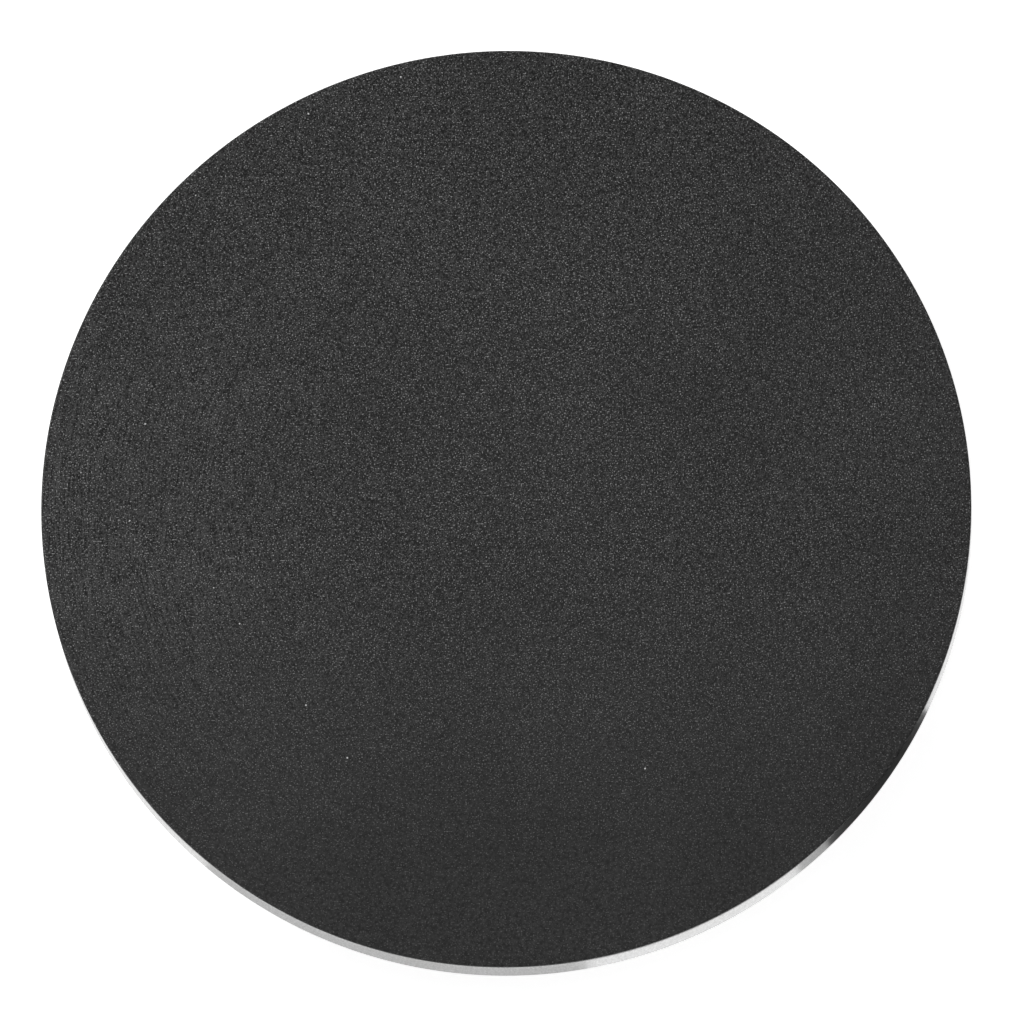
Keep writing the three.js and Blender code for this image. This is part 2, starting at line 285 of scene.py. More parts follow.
def new_object(name, shape):
    """A mesh object of a shape, smooth but for its sharp edges."""
    points, faces = shape
    mesh = bpy.data.meshes.new(name)
    mesh.from_pydata(points.tolist(), [], faces)
    mesh.validate()
    obj = bpy.data.objects.new(name, mesh)
    bpy.context.scene.collection.objects.link(obj)
    smooth(obj)
    return obj


def smooth(obj):
    """Smooth shading, with edges sharper than SMOOTH_ANGLE kept sharp."""
    mesh = obj.data
    mesh.polygons.foreach_set("use_smooth", [True] * len(mesh.polygons))
    mesh.set_sharp_from_angle(angle=SMOOTH_ANGLE)
    mesh.update()


def combine(obj, tool_shape, operation):
    """Joins a shape to the object (UNION) or cuts it away (DIFFERENCE)."""
    tool = new_object(obj.name + "_tool", tool_shape)
    modifier = obj.modifiers.new(operation.lower(), "BOOLEAN")
    modifier.operation = operation
    modifier.object = tool
    modifier.solver = "EXACT"
    depsgraph = bpy.context.evaluated_depsgraph_get()
    made = bpy.data.meshes.new_from_object(obj.evaluated_get(depsgraph))
    obj.modifiers.clear()
    obj.data = made
    bpy.data.objects.remove(tool)
    smooth(obj)


def piece(obj, material, body, slot, *nodes):
    """Gives a piece its material and its body, and hides the nodes that it stands for. Its slot argument
    is not used.
    """
    obj.data.materials.clear()
    obj.data.materials.append(material)
    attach(obj, body)
    if nodes:
        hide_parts(*nodes)
    return obj


def thread(pitch, depth, low, high, fade):
    """A ripple that raises a helical thread between two heights, fading out at both ends."""
    steepness = 1.3
    root_share = 0.15

    def ripple(radii, heights, angles):
        turn = heights / pitch - angles / (2 * math.pi)
        wave = np.abs((turn % 1) * 2 - 1)
        ends = np.clip(np.minimum(heights - low, high - heights) / fade, 0, 1)
        return depth * np.clip(wave * steepness - root_share, 0, 1) * ends

    return ripple


# ---- materials ----


class Paint:
    """A node material in the making: a Principled shader, and the texture nodes that feed it."""

    def __init__(self, name):
        self.material = bpy.data.materials.new(name)
        self.material.use_nodes = True
        self.tree = self.material.node_tree
        self.tree.nodes.clear()
        self.shader = self.tree.nodes.new("ShaderNodeBsdfPrincipled")
        output = self.tree.nodes.new("ShaderNodeOutputMaterial")
        self.tree.links.new(self.shader.outputs["BSDF"], output.inputs["Surface"])
        place = self.tree.nodes.new("ShaderNodeTexCoord").outputs["Object"]
        scaled = self.add("ShaderNodeVectorMath", {0: place, "Scale": 1 / MM}, operation="SCALE")
        self.millimetres = scaled.outputs["Vector"]

    def add(self, kind, inputs, **settings):
        """A node with its settings and its inputs: a socket is linked, and a value is set."""
        node = self.tree.nodes.new(kind)
        for name, value in settings.items():
            setattr(node, name, value)
        for name, value in inputs.items():
            self.feed(node, name, value)
        return node

    def feed(self, node, name, value):
        """Links a socket to an input, or sets the input's value."""
        if isinstance(value, bpy.types.NodeSocket):
            self.tree.links.new(value, node.inputs[name])
        else:
            node.inputs[name].default_value = value

    def set(self, **inputs):
        """Sets or links the shader's inputs, whose names are given with _ for a space."""
        for name, value in inputs.items():
            self.feed(self.shader, name.replace("_", " "), value)

    def noise(self, scale, detail=2.0, roughness=0.5, where=None):
        """Noise from 0 to 1, with scale in features per millimetre."""
        inputs = {
            "Vector": where or self.millimetres,
            "Scale": scale,
            "Detail": detail,
            "Roughness": roughness,
        }
        return self.add("ShaderNodeTexNoise", inputs).outputs["Fac"]

    def cells(self, scale):
        """The distance to the nearest of random points, with scale in points per millimetre."""
        inputs = {"Vector": self.millimetres, "Scale": scale}
        return self.add("ShaderNodeTexVoronoi", inputs).outputs["Distance"]

    def maths(self, operation, first, second=0.0):
        """One sum on numbers or sockets."""
        inputs = {0: first, 1: second}
        return self.add("ShaderNodeMath", inputs, operation=operation).outputs["Value"]

    def between(self, value, low, high, new_low=0.0, new_high=1.0):
        """The value mapped from one range to another, and held inside it."""
        inputs = {"Value": value, 1: low, 2: high, 3: new_low, 4: new_high}
        return self.add("ShaderNodeMapRange", inputs).outputs["Result"]

    def mix(self, share, first, second):
        """A number between two numbers."""
        return self.add("ShaderNodeMix", {"Factor": share, "A": first, "B": second}).outputs["Result"]

    def blend(self, share, first, second):
        """A colour between two colours."""
        node = self.add("ShaderNodeMix", {"Factor": share}, data_type="RGBA")
        self.feed(node, 6, first)
        self.feed(node, 7, second)
        return node.outputs[2]

    def bump(self, height, depth, under=None):
        """A bump of the height, from 0 to 1, with depth in metres, on top of another bump if given."""
        inputs = {"Height": height, "Distance": depth, "Strength": 1.0}
        if under is not None:
            inputs["Normal"] = under
        return self.add("ShaderNodeBump", inputs).outputs["Normal"]

    def radius(self):
        """The distance from the disc's axis, in millimetres."""
        flat = self.add("ShaderNodeVectorMath", {0: self.millimetres, 1: (1, 1, 0)}, operation="MULTIPLY")
        length = self.add("ShaderNodeVectorMath", {0: flat.outputs["Vector"]}, operation="LENGTH")
        return length.outputs["Value"]

    def angle(self):
        """The angle round the disc's axis, in radians from -pi to pi."""
        parts = self.add("ShaderNodeSeparateXYZ", {"Vector": self.millimetres}).outputs
        return self.maths("ARCTAN2", parts["Y"], parts["X"])

    def rings(self, width, stretch):
        """Noise drawn out round the axis, with width in millimetres and stretch in features per radian."""
        parts = self.add("ShaderNodeSeparateXYZ", {"Vector": self.millimetres}).outputs
        along = self.maths("MULTIPLY", self.angle(), stretch)
        across = self.maths("DIVIDE", self.radius(), width)
        height = self.maths("DIVIDE", parts["Z"], width)
        where = self.add("ShaderNodeCombineXYZ", {"X": across, "Y": along, "Z": height})
        return self.noise(1.0, 2.0, where=where.outputs["Vector"])


def grey(value):
    """A neutral colour."""
    return (value, value, value, 1.0)


def face_material():
    """Near-black polymer: fine grain that sparkles, bright specks, faint dressing rings, soft cloudiness,
    some dust.

    The grain is harder and the specks brighter towards +Y, as painted sparkle. Towards -X the rings are
    painted lighter as a sheen of light, and the colour is painted slightly lighter, as light from the
    left."""
    paint = Paint("black_face")
    parts = paint.add("ShaderNodeSeparateXYZ", {"Vector": paint.millimetres}).outputs
    # Towards +Y, and a little less at +X, the grain is harder and the specks brighter: painted sparkle,
    # standing in for light glinting on the grain.
    upper_side = paint.between(parts["Y"], -62, -6)
    painted_sparkle_side = paint.maths("MULTIPLY", upper_side, paint.between(parts["X"], 25, 70, 1.0, 0.7))
    # Towards -X, away from the middle, the dressing rings are painted lighter: a painted sheen of light
    # from the left on the rings.
    off_middle = paint.between(paint.maths("ABSOLUTE", parts["Y"]), 12, 45, 1.0, 0.2)
    painted_ring_sheen_side = paint.maths("MULTIPLY", paint.between(parts["X"], -50, -20, 0.8, 0.1), off_middle)
    fine = paint.between(paint.noise(3.6, 1.0), 0.39, 0.73)
    soft = paint.between(paint.noise(2.3, 1.0), 0.30, 0.80, 0.20, 0.70)
    grain = paint.mix(painted_sparkle_side, soft, fine)
    rings = paint.rings(0.3, 9.0)
    # The rings' colour, lighter more than darker, used only for that painted sheen towards -X.
    painted_ring_sheen = paint.between(rings, 0.35, 0.70, -0.18, 0.62)
    shade = paint.maths("ADD", grain, paint.maths("MULTIPLY", painted_ring_sheen, painted_ring_sheen_side))
    colour = paint.blend(shade, grey(0.005), grey(0.052))
    specks = paint.noise(4.6, 0.0)
    speckle = paint.between(specks, 0.65, 0.79)
    # The specks are partly real and partly painted sparkle: they are painted brighter towards +Y.
    bright = paint.maths("MULTIPLY", speckle, paint.between(painted_sparkle_side, 0, 1, 0.25, 1.0))
    speckled = paint.blend(bright, colour, grey(0.26))
    dust = paint.between(paint.cells(0.13), 0.012, 0.022, 1.0, 0.0)
    dusty = paint.blend(dust, speckled, grey(0.55))
    cloudy = paint.between(paint.noise(0.035, 3.0), 0.3, 0.7, 0.9, 1.1)
    # The random cloudy tone, and a painted light from the left: the colour is up to 12% lighter towards
    # -X.
    cloudy_and_painted_left_light = paint.maths("MULTIPLY", cloudy, paint.between(parts["X"], -70, 0, 1.12, 0.99))
    cloudy_and_left_lit_colour = paint.add("ShaderNodeVectorMath", {0: dusty, "Scale": cloudy_and_painted_left_light}, operation="SCALE")
    ring_bump = paint.bump(rings, 0.012 * MM)
    grain_bump = paint.bump(grain, 0.08 * MM, under=ring_bump)
    roughness = paint.between(specks, 0.3, 0.7, 0.46, 0.32)
    paint.set(Base_Color=cloudy_and_left_lit_colour.outputs["Vector"], Roughness=roughness, Normal=grain_bump)
    paint.shader.inputs["Specular IOR Level"].default_value = 0.16
    return paint.material


def aluminium_material():
    """Bare aluminium, blasted to a satin: fine grain, faint turning lines, a little staining.

    Part of the grain is drawn out along the axis, so that it shows as short upright streaks."""
    paint = Paint("satin_aluminium")
    grain = paint.noise(3.2, 3.0, 0.6)
    drawn = paint.add("ShaderNodeVectorMath", {0: paint.millimetres, 1: (1, 1, 0.2)}, operation="MULTIPLY")
    drag = paint.noise(3.0, 2.0, 0.6, where=drawn.outputs["Vector"])
    stains = paint.noise(0.06, 4.0)
    lines = paint.rings(0.25, 1.5)
    share = paint.between(paint.mix(0.45, grain, drag), 0.34, 0.66)
    colour = paint.blend(share, grey(0.34), grey(0.60))
    stained = paint.blend(paint.between(stains, 0.45, 0.75, 0.0, 0.3), colour, (0.38, 0.37, 0.35, 1))
    line_bump = paint.bump(lines, 0.010 * MM)
    grain_bump = paint.bump(grain, 0.02 * MM, under=line_bump)
    roughness = paint.between(grain, 0.3, 0.7, 0.40, 0.28)
    paint.set(Base_Color=stained, Metallic=1.0, Roughness=roughness, Normal=grain_bump)
    return paint.material


def foam_material():
    """Dense open-celled foam, dark grey."""
    paint = Paint("pad_foam")
    cells = paint.cells(2.2)
    fine = paint.noise(4.0, 3.0)
    colour = paint.blend(paint.between(cells, 0.05, 0.5), grey(0.006), (0.045, 0.047, 0.050, 1))
    bump = paint.bump(cells, 0.25 * MM)
    bump = paint.bump(fine, 0.08 * MM, under=bump)
    paint.set(Base_Color=colour, Roughness=paint.between(fine, 0.3, 0.7, 0.85, 1.0), Normal=bump)
    return paint.material


def fibre_material(name, dark, light, width):
    """Nylon or polyester fibre: fine streaks in the colour, and a soft sheen."""
    paint = Paint(name)
    streaks = paint.noise(1 / width, 3.0)
    worn = paint.noise(0.08, 3.0)
    colour = paint.blend(paint.between(streaks, 0.3, 0.7), grey(dark), grey(light))
    dusty = paint.blend(paint.between(worn, 0.5, 0.8, 0.0, 0.3), colour, (0.09, 0.088, 0.082, 1))
    paint.set(
        Base_Color=dusty,
        Roughness=paint.between(streaks, 0.3, 0.7, 0.55, 0.85),
        Normal=paint.bump(streaks, 0.05 * MM),
    )
    paint.shader.inputs["Sheen Weight"].default_value = 0.3
    paint.shader.inputs["Sheen Roughness"].default_value = 0.5
    return paint.material


def glue_material():
    """A cured amber film with small bubbles."""
    paint = Paint("glue_film")
    bubbles = paint.cells(1.4)
    clouds = paint.noise(0.3, 3.0)
    colour = paint.blend(paint.between(clouds, 0.3, 0.7), (0.34, 0.22, 0.06, 1), (0.55, 0.42, 0.17, 1))
    bump = paint.bump(paint.between(bubbles, 0.0, 0.25), 0.08 * MM)
    paint.set(Base_Color=colour, Roughness=paint.between(clouds, 0.3, 0.7, 0.15, 0.35), Normal=bump)
    return paint.material


def steel_material(name, dark, light, line_width):
    """Turned and plated steel: fine rings from the tool, a cloudy plating, small scratches."""
    paint = Paint(name)
    lines = paint.rings(line_width, 2.0)
    clouds = paint.noise(0.25, 4.0)
    grain = paint.noise(5.0, 2.0)
    colour = paint.blend(paint.between(clouds, 0.3, 0.7), dark, light)
    bump = paint.bump(lines, 0.015 * MM)
    bump = paint.bump(grain, 0.02 * MM, under=bump)
    roughness = paint.between(clouds, 0.3, 0.7, 0.25, 0.42)
    paint.set(Base_Color=colour, Metallic=1.0, Roughness=roughness, Normal=bump)
    return paint.material


def screw_material():
    """Black oxide on steel, rubbed bright here and there."""
    paint = Paint("screw_steel")
    clouds = paint.noise(0.6, 4.0)
    grain = paint.noise(6.0, 3.0)
    colour = paint.blend(paint.between(clouds, 0.5, 0.75), grey(0.022), (0.10, 0.095, 0.09, 1))
    roughness = paint.between(grain, 0.3, 0.7, 0.35, 0.55)
    paint.set(Base_Color=colour, Metallic=1.0, Roughness=roughness, Normal=paint.bump(grain, 0.02 * MM))
    return paint.material


def moulded_material(name, dark, light, low, high):
    """Moulded rubber or plastic with a fine spark-eroded texture."""
    paint = Paint(name)
    texture = paint.noise(5.0, 2.0)
    clouds = paint.noise(0.2, 3.0)
    colour = paint.blend(paint.between(clouds, 0.3, 0.7), dark, light)
    roughness = paint.between(texture, 0.3, 0.7, low, high)
    paint.set(Base_Color=colour, Roughness=roughness, Normal=paint.bump(texture, 0.03 * MM))
    return paint.material


# ---- the pad ----


def add_face(material):
    """The black face: a flat disc whose edges are just broken."""
    edge = 0.3 * MM
    profile = rounded(
        [
            (0, FACE_LOW.z, 0),
            (DISC_RADIUS, FACE_LOW.z, edge),
            (DISC_RADIUS, FACE_HIGH.z, edge),
            (0, FACE_HIGH.z, 0),
        ]
    )
    face = new_object("black_face", turned(profile, FINE_STEPS))
    piece(face, material, "pad", "face_polymer", "polishing_face")


def add_foam(material):
    """The foam cushion, its cut edge drawn in and pitted with open cells."""
    rows = 12
    hollow = 0.35 * MM
    pit_depth = 0.22 * MM
    pit_size = 0.45 * MM
    share = np.linspace(0, 1, rows + 1)
    edge_radii = LAYER_RADIUS - hollow * np.sin(math.pi * share)
    edge_heights = FOAM_LOW.z + (FOAM_HIGH.z - FOAM_LOW.z) * share
    edge = np.stack((edge_radii, edge_heights), 1)
    inner = LAYER_RADIUS - 2 * MM
    profile = np.concatenate(
        (
            [(0, FOAM_LOW.z), (inner, FOAM_LOW.z)],
            edge,
            [(inner, FOAM_HIGH.z), (0, FOAM_HIGH.z)],
        )
    )

    def pits(radii, heights, angles):
        """Random depths on the edge's rows, which follow two rows of the flat underside."""
        depths = np.zeros(radii.shape)
        for row in range(2, rows + 3):
            for step, angle in enumerate(angles[0]):
                around = LAYER_RADIUS * angle
                place = Vector((around, heights[row, step], 0)) / pit_size
                depths[row, step] = -pit_depth * (0.5 + 0.5 * noise.noise(place))
        return depths

    foam = new_object("foam_layer", turned(profile, 2 * FINE_STEPS, ripple=pits))
    piece(foam, material, "pad", "pad_foam", "foam_cushion")


def add_glue(name, node, body, material):
    """A glue film, whose edge is a little uneven where it was squeezed out."""
    low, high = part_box(node)
    wobble = 0.12 * MM
    edge = 0.06 * MM

    def uneven(radii, heights, angles):
        waves = np.sin(7 * angles) + 0.6 * np.sin(19 * angles + 1) + 0.4 * np.sin(53 * angles + 2)
        return np.where(radii > 0, wobble * (waves / 2 - 1), 0)

    profile = rounded(
        [
            (0, low.z, 0),
            (high.x, low.z, edge),
            (high.x, high.z, edge),
            (0, high.z, 0),
        ]
    )
    film = new_object(name, turned(profile, FINE_STEPS, ripple=uneven))
    piece(film, material, body, "glue_film", node)


def grid_places(spacing, radius, jitter, rng):
    """Places on a six-sided grid inside a radius, each moved a little at random."""
    row_step = spacing * math.sqrt(3) / 2
    rows = int(radius / row_step) + 1
    places = []
    for row in range(-rows, rows + 1):
        shift = spacing / 2 * (row % 2)
        count = int(radius / spacing) + 1
        for column in range(-count, count + 1):
            places.append((column * spacing + shift, row * row_step))
    places = np.array(places) + rng.uniform(-jitter, jitter, (len(places), 2))
    return places[np.hypot(places[:, 0], places[:, 1]) < radius]


def scattered(shape, places, rng, lean):
    """Copies of a small shape at (x, y) places, each turned and leaned at random, as one shape."""
    points, faces = shape
    count, size = len(places), len(points)
    turns = rng.uniform(0, 2 * math.pi, count)
    leans = rng.normal(0, lean, (count, 2))
    cos, sin = np.cos(turns)[:, None], np.sin(turns)[:, None]
    x = points[None, :, 0] * cos - points[None, :, 1] * sin
    y = points[None, :, 0] * sin + points[None, :, 1] * cos
    z = np.repeat(points[None, :, 2], count, 0)
    x = x + places[:, :1] + z * leans[:, :1]
    y = y + places[:, 1:] + z * leans[:, 1:]
    made = np.stack((x, y, z), 2).reshape(-1, 3)
    starts = range(0, count * size, size)
    return made, [tuple(index + start for index in face) for start in starts for face in faces]


def tube(path, radius, sides):
    """A round tube along a flat path of (across, up) points, closed at both ends."""
    path = np.array(path)
    ways = np.gradient(path, axis=0)
    ways /= np.linalg.norm(ways, axis=1)[:, None]
    angles = np.arange(sides) * 2 * math.pi / sides
    points = []
    for (across, up), (way_across, way_up) in zip(path, ways):
        for angle in angles:
            out, beside = radius * math.cos(angle), radius * math.sin(angle)
            points.append((across - out * way_up, beside, up + out * way_across))
    faces = []
    for ring in range(len(path) - 1):
        for side in range(sides):
            a, b = ring * sides + side, ring * sides + (side + 1) % sides
            faces.append((a, b, b + sides, a + sides))
    last = (len(path) - 1) * sides
    faces.append(tuple(reversed(range(sides))))
    faces.append(tuple(range(last, last + sides)))
    return np.array(points), faces


def add_loops(material):
    """The loop fabric: a thin knitted base, and a pile of small loops that hang from it."""
    base_thickness = 0.45 * MM
    edge = 0.15 * MM
    base_bottom = LOOP_HIGH.z - base_thickness
    profile = rounded(
        [
            (0, base_bottom, 0),
            (LAYER_RADIUS, base_bottom, edge),
            (LAYER_RADIUS, LOOP_HIGH.z, edge),
            (0, LOOP_HIGH.z, 0),
        ]
    )
    base = new_object("loop_base", turned(profile, FINE_STEPS))
    piece(base, material, "pad", "loop_fabric", "loop_fabric")
    rng = np.random.default_rng(SEED)
    drop = base_bottom - LOOP_LOW.z
    fibre = 0.06 * MM
    half_width = 0.45 * MM
    buried = 0.1 * MM
    margin = 0.9 * MM
    jitter = 0.5 * MM
    lean = 0.25
    bends = np.linspace(0, math.pi, 7)
    path = [
        (half_width * math.cos(bend), buried - (drop + buried - fibre) * math.sin(bend))
        for bend in bends
    ]
    loop = tube(path, fibre, 3)
    places = grid_places(LOOP_SPACING, LAYER_RADIUS - margin, jitter, rng)
    points, faces = scattered(loop, places, rng, lean)
    points[:, 2] += base_bottom
    pile = new_object("loop_pile", (points, faces))
    piece(pile, material, "pad", "loop_fabric")


# ---- the backing plate ----


def add_hooks(material):
    """The hook sheet: a base strip with a field of mushroom-headed hooks."""
    base_thickness = 0.4 * MM
    edge = 0.1 * MM
    base_top = HOOK_LOW.z + base_thickness
    profile = rounded(
        [
            (0, HOOK_LOW.z, 0),
            (LAYER_RADIUS, HOOK_LOW.z, edge),
            (LAYER_RADIUS, base_top, edge),
            (0, base_top, 0),
        ]
    )
    base = new_object("hook_base", turned(profile, FINE_STEPS))
    piece(base, material, "backing", "hook_sheet", "hook_sheet")
    rng = np.random.default_rng(SEED + 1)
    height = HOOK_HIGH.z - base_top
    stem, head = 0.11 * MM, 0.26 * MM
    buried = -0.05 * MM
    margin = 0.7 * MM
    jitter = 0.12 * MM
    lean = 0.04
    mushroom = np.array(
        [
            (0, buried),
            (1.4 * stem, buried),
            (stem, 0.72 * height),
            (head, 0.78 * height),
            (0.75 * head, 0.94 * height),
            (0, height),
        ]
    )
    hook = turned(mushroom, 6)
    places = grid_places(HOOK_SPACING, LAYER_RADIUS - margin, jitter, rng)
    points, faces = scattered(hook, places, rng, lean)
    points[:, 2] += base_top
    field = new_object("hook_field", (points, faces))
    piece(field, material, "backing", "hook_sheet")


def rib_shape():
    """One gusset rib along +X, deep at the boss and shallow at the wall, reaching into the web."""
    root = BOSS_RADIUS - RIB_THICKNESS
    buried = PLATE_BOTTOM + WEB_THICKNESS / 2
    outline = [
        (root, PLATE_BOTTOM - RIB_ROOT_DEPTH),
        (RIB_END_RADIUS, PLATE_BOTTOM - RIB_TIP_DEPTH),
        (RIB_END_RADIUS, buried),
        (root, buried),
    ]
    upright = prism(outline, -RIB_THICKNESS / 2, RIB_THICKNESS / 2)
    return placed(upright, Matrix.Rotation(math.pi / 2, 4, "X"))


def add_plate(material):
    """The turned and milled aluminium plate."""
    hole = SPIGOT_RADIUS + CLEARANCE
    seat = CAP_HIGH.x + CLEARANCE
    seat_height = CAP_HIGH.z - CAP_THICKNESS
    small, edge, wide = 0.15 * MM, 0.35 * MM, 0.8 * MM
    profile = rounded(
        [
            (hole, PLATE_LOW.z, edge),
            (BOSS_RADIUS, PLATE_LOW.z, edge),
            (BOSS_RADIUS, PLATE_BOTTOM, wide),
            (DISC_RADIUS, PLATE_BOTTOM, edge),
            (DISC_RADIUS, PLATE_HIGH.z, edge),
            (POCKET_RADIUS, PLATE_HIGH.z, edge),
            (POCKET_RADIUS, POCKET_FLOOR, small),
            (seat, POCKET_FLOOR, small),
            (seat, seat_height, 0),
            (hole, seat_height, small),
        ],
        closed=True,
    )
    plate = new_object("turned_plate", turned(profile, FINE_STEPS, closed=True))
    combine(plate, round_the_axis(rib_shape(), equal_angles(RIB_COUNT)), "UNION")
    tapped = prism(
        polygon(SMALL_STEPS, SCREW_HOLE_RADIUS),
        PLATE_LOW.z - TAPPED_DEPTH,
        PLATE_LOW.z + TAPPED_DEPTH,
    )
    drilling = prism(
        polygon(SMALL_STEPS, BALANCE_HOLE_RADIUS),
        PLATE_BOTTOM - BALANCE_HOLE_DEPTH,
        PLATE_BOTTOM + BALANCE_HOLE_DEPTH,
    )
    middle = math.pi / RIB_COUNT
    places = [middle + BALANCE_SPACING * (place - 1) for place in range(BALANCE_HOLES)]
    holes = joined(
        [
            round_the_axis(tapped, equal_angles(SCREW_COUNT), SCREW_CIRCLE),
            round_the_axis(drilling, places, BALANCE_CIRCLE),
        ]
    )
    combine(plate, holes, "DIFFERENCE")
    piece(plate, material, "backing", "satin_aluminium", "backing_plate")


def add_hub(material):
    """The steel hub: threaded bore, collar with spanner flats, drilled flange and spigot."""
    edge, small = 0.4 * MM, 0.15 * MM
    bottom, top = HUB_LOW.z, FLANGE_TOP + SPIGOT_HEIGHT
    flange = HUB_HIGH.x
    flange_bottom = bottom + COLLAR_HEIGHT
    mouth = BORE_MOUTH_RADIUS - BORE_RADIUS
    outside = rounded(
        [
            (BORE_MOUTH_RADIUS, bottom, 0),
            (COLLAR_RADIUS, bottom, edge),
            (COLLAR_RADIUS, flange_bottom, edge),
            (flange, flange_bottom, edge),
            (flange, FLANGE_TOP, small),
            (SPIGOT_RADIUS, FLANGE_TOP, 0),
            (SPIGOT_RADIUS, top, edge),
            (BORE_MOUTH_RADIUS, top, 0),
        ]
    )
    rows = int((top - bottom - 2 * mouth) / THREAD_PITCH * THREAD_ROWS)
    bore_heights = np.linspace(top - mouth, bottom + mouth, rows)
    bore = np.stack((np.full(rows, BORE_RADIUS), bore_heights), 1)
    in_bore = BORE_RADIUS + 0.01 * MM

    helix = thread(THREAD_PITCH, THREAD_DEPTH, bottom + mouth / 2, top - mouth / 2, THREAD_PITCH / 2)

    def bore_thread(radii, heights, angles):
        return np.where(radii < in_bore, helix(radii, heights, angles), 0)

    profile = np.concatenate((outside, bore))
    hub = new_object("threaded_hub", turned(profile, CORE_STEPS, closed=True, ripple=bore_thread))
    block = [
        (FLAT_DISTANCE, -COLLAR_RADIUS),
        (2 * COLLAR_RADIUS, -COLLAR_RADIUS),
        (2 * COLLAR_RADIUS, COLLAR_RADIUS),
        (FLAT_DISTANCE, COLLAR_RADIUS),
    ]
    flats = round_the_axis(prism(block, bottom - FLAT_HEIGHT, bottom + FLAT_HEIGHT), (0, math.pi))
    drill = prism(polygon(SMALL_STEPS, SCREW_CLEARANCE_RADIUS), flange_bottom - edge, FLANGE_TOP + edge)
    holes = round_the_axis(drill, equal_angles(SCREW_COUNT), SCREW_CIRCLE)
    combine(hub, joined([flats, holes]), "DIFFERENCE")
    piece(hub, material, "backing", "hub_steel", "spindle_hub")


def add_gasket(material):
    """The fibre gasket, squeezed a little proud at its edge."""
    hole = SPIGOT_RADIUS + CLEARANCE
    edge = 0.2 * MM
    profile = rounded(
        [
            (hole, GASKET_LOW.z, edge),
            (GASKET_HIGH.x, GASKET_LOW.z, edge),
            (GASKET_HIGH.x, GASKET_HIGH.z, edge),
            (hole, GASKET_HIGH.z, edge),
        ],
        closed=True,
    )
    gasket = new_object("gasket_ring", turned(profile, CORE_STEPS, closed=True))
    outline = polygon(SMALL_STEPS, SCREW_CLEARANCE_RADIUS)
    drill = prism(outline, GASKET_LOW.z - edge, GASKET_HIGH.z + edge)
    combine(gasket, round_the_axis(drill, equal_angles(SCREW_COUNT), SCREW_CIRCLE), "DIFFERENCE")
    piece(gasket, material, "backing", "gasket_rubber", "hub_gasket")


def add_cap(material):
    """The cap over the bore: a disc in its seat, with a skirt that has a snap bead."""
    seat_height = CAP_HIGH.z - CAP_THICKNESS
    inside = SPIGOT_RADIUS - CAP_SKIRT_WALL
    edge = 0.15 * MM
    bead_height = (CAP_LOW.z + seat_height) / 2
    bead = 0.12 * MM
    profile = rounded(
        [
            (0, seat_height, 0),
            (inside, seat_height, 0.5 * MM),
            (inside, CAP_LOW.z, edge),
            (SPIGOT_RADIUS, CAP_LOW.z, edge),
            (SPIGOT_RADIUS, bead_height - 2 * bead, 0),
            (SPIGOT_RADIUS + bead, bead_height, 0),
            (SPIGOT_RADIUS, bead_height + 2 * bead, 0),
            (SPIGOT_RADIUS, seat_height, 0),
            (CAP_HIGH.x, seat_height, edge),
            (CAP_HIGH.x, CAP_HIGH.z, edge),
            (0, CAP_HIGH.z, 0),
        ]
    )
    cap = new_object("bore_cap", turned(profile, CORE_STEPS))
    piece(cap, material, "backing", "cap_plastic", "dust_cap")


def screw_shape():
    """A button-head screw on the axis, its threaded shank up, at the height where the screws sit."""
    bottom, top = SCREW_LOW.z, SCREW_HIGH.z
    seat = bottom + SCREW_HEAD_HEIGHT
    head = (SCREW_HIGH.x - SCREW_LOW.x) / 2
    crown = 0.55 * head
    rim = 0.6 * MM
    share = np.linspace(0, 1, 9)[:, None]
    dome_radii = crown + (head - crown) * np.sin(share * math.pi / 2)
    dome_heights = bottom + (SCREW_HEAD_HEIGHT - rim) * (1 - np.cos(share * math.pi / 2))
    dome = np.concatenate((dome_radii, dome_heights), 1)
    root = SCREW_CREST_RADIUS - 0.4 * MM
    rows = int((top - seat) / SCREW_PITCH * SCREW_THREAD_ROWS)
    shank_heights = np.linspace(seat, top - 0.3 * MM, rows)
    shank = np.stack((np.full(rows, root), shank_heights), 1)
    profile = np.concatenate(
        (
            [(0, bottom)],
            dome,
            [(head, seat - 0.1 * MM), (head - 0.1 * MM, seat)],
            shank,
            [(root - 0.3 * MM, top), (0, top)],
        )
    )
    plain = 0.2 * MM
    depth = SCREW_CREST_RADIUS - root
    helix = thread(SCREW_PITCH, depth, seat + plain, top - plain, SCREW_PITCH / 2)

    def shank_thread(radii, heights, angles):
        on_shank = (np.abs(radii - root) < 0.001 * MM) & (heights > seat)
        return np.where(on_shank, helix(radii, heights, angles), 0)

    return turned(profile, SMALL_STEPS, ripple=shank_thread)


def add_screws(material):
    """The six hub screws, with a hexagon socket in each head."""
    screw = screw_shape()
    socket_radius = SOCKET_FLAT_DISTANCE / math.cos(math.pi / 6)
    socket = prism(polygon(6, socket_radius), SCREW_LOW.z - SOCKET_DEPTH, SCREW_LOW.z + SOCKET_DEPTH)
    for number, angle in enumerate(equal_angles(SCREW_COUNT), 1):
        obj = new_object(f"button_screw_{number}", round_the_axis(screw, (angle,), SCREW_CIRCLE))
        combine(obj, round_the_axis(socket, (angle,), SCREW_CIRCLE), "DIFFERENCE")
        piece(obj, material, "backing", "screw_steel", f"hub_screw_{number}")


